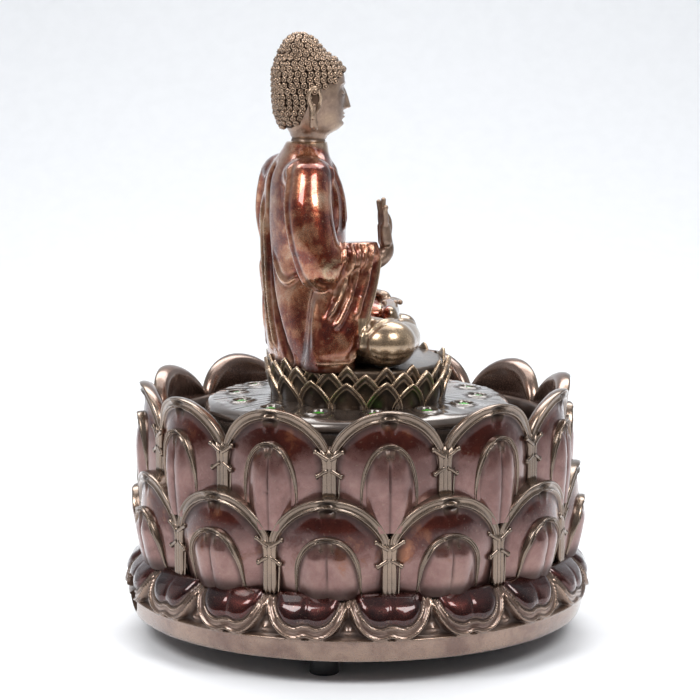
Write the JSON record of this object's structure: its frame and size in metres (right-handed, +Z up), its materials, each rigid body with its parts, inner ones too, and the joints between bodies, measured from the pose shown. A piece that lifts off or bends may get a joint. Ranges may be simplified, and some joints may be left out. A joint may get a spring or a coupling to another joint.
{
  "type": "tabletop water fountain",
  "caption": "Tabletop water fountain: a seated robed figure on a lotus seat over a lift-off seed-pod deck, in a lotus-petal bowl on a petalled plinth, with a submersible pump inside.",
  "frame": {"origin": "centre of the box's base: on the surface that the feet rest on, under the middle of the bowl", "axes": "+Z up, the figure faces -Y, its left hand is towards +X"},
  "size_m": [0.2002, 0.1997, 0.2539],
  "materials": {
    "bowl_bronze": "mauve-brown metallic lacquer over cold-cast bronze, golden rims, glossy",
    "plinth_bronze": "red-brown enamel bulbs with polished bronze rims, glossy",
    "deck_bronze": "dark bronze under thick gloss lacquer",
    "seed_green": "bright green gloss",
    "seat_bronze": "dark bronze with gold edges, satin to gloss",
    "robe_copper": "translucent copper-red enamel over bronze, glossy",
    "skin_bronze": "antique brown bronze, satin",
    "plate_black": "moulded plate, matt black",
    "screw_steel": "plated steel",
    "foot_rubber": "black rubber",
    "grommet_rubber": "black rubber",
    "pump_plastic": "black moulded plastic",
    "gate_plastic": "grey moulded plastic",
    "impeller_plastic": "white moulded plastic",
    "magnet_ferrite": "sintered ferrite, dark grey",
    "shaft_ceramic": "ground white ceramic",
    "bush_rubber": "black rubber",
    "core_steel": "laminated electrical steel",
    "coil_copper": "enamelled copper winding",
    "potting_epoxy": "cast epoxy",
    "cup_rubber": "translucent rubber",
    "hose_vinyl": "clear vinyl tube"
  },
  "bodies": {
    "fountain_bowl": {"base_ring": "plinth_bronze", "base_plate": "plate_black", "base_screws": "screw_steel", "foot_front": "foot_rubber", "foot_left": "foot_rubber", "foot_right": "foot_rubber", "basin": "bowl_bronze", "floor_grommet": "grommet_rubber", "cord_grommet": "grommet_rubber", "pump_body": "pump_plastic", "chamber_lid": "pump_plastic", "front_bush": "bush_rubber", "rear_bush": "bush_rubber", "impeller_shaft": "shaft_ceramic", "stator_core": "core_steel", "coil": "coil_copper", "potting": "potting_epoxy", "suction_cups": "cup_rubber", "hose": "hose_vinyl"},
    "lift_off_deck": {"seed_deck": "deck_bronze", "seeds": "seed_green", "lotus_seat": "seat_bronze", "robed_body": "robe_copper", "head": "skin_bronze", "raised_hand": "skin_bronze", "resting_hand": "skin_bronze"},
    "rotor": {"impeller": "impeller_plastic", "rotor_magnet": "magnet_ferrite"},
    "intake_cover": {"pump_cover": "pump_plastic"},
    "flow_gate": {"flow_slider": "gate_plastic"}
  },
  "joints": [
    {"name": "deck_lift", "type": "slide", "parent": "fountain_bowl", "child": "lift_off_deck", "axis": [0, 0, 1], "range_m": [0, 0.07]},
    {"name": "impeller_spin", "type": "hinge", "parent": "fountain_bowl", "child": "rotor", "pos_m": [0, 0, 0.066], "axis": [0, 1, 0], "continuous": true},
    {"name": "cover_pull", "type": "slide", "parent": "fountain_bowl", "child": "intake_cover", "axis": [0, -1, 0], "range_m": [0, 0.01]},
    {"name": "flow_slide", "type": "slide", "parent": "intake_cover", "child": "flow_gate", "axis": [1, 0, 0], "range_m": [0, 0.008]}
  ]
}
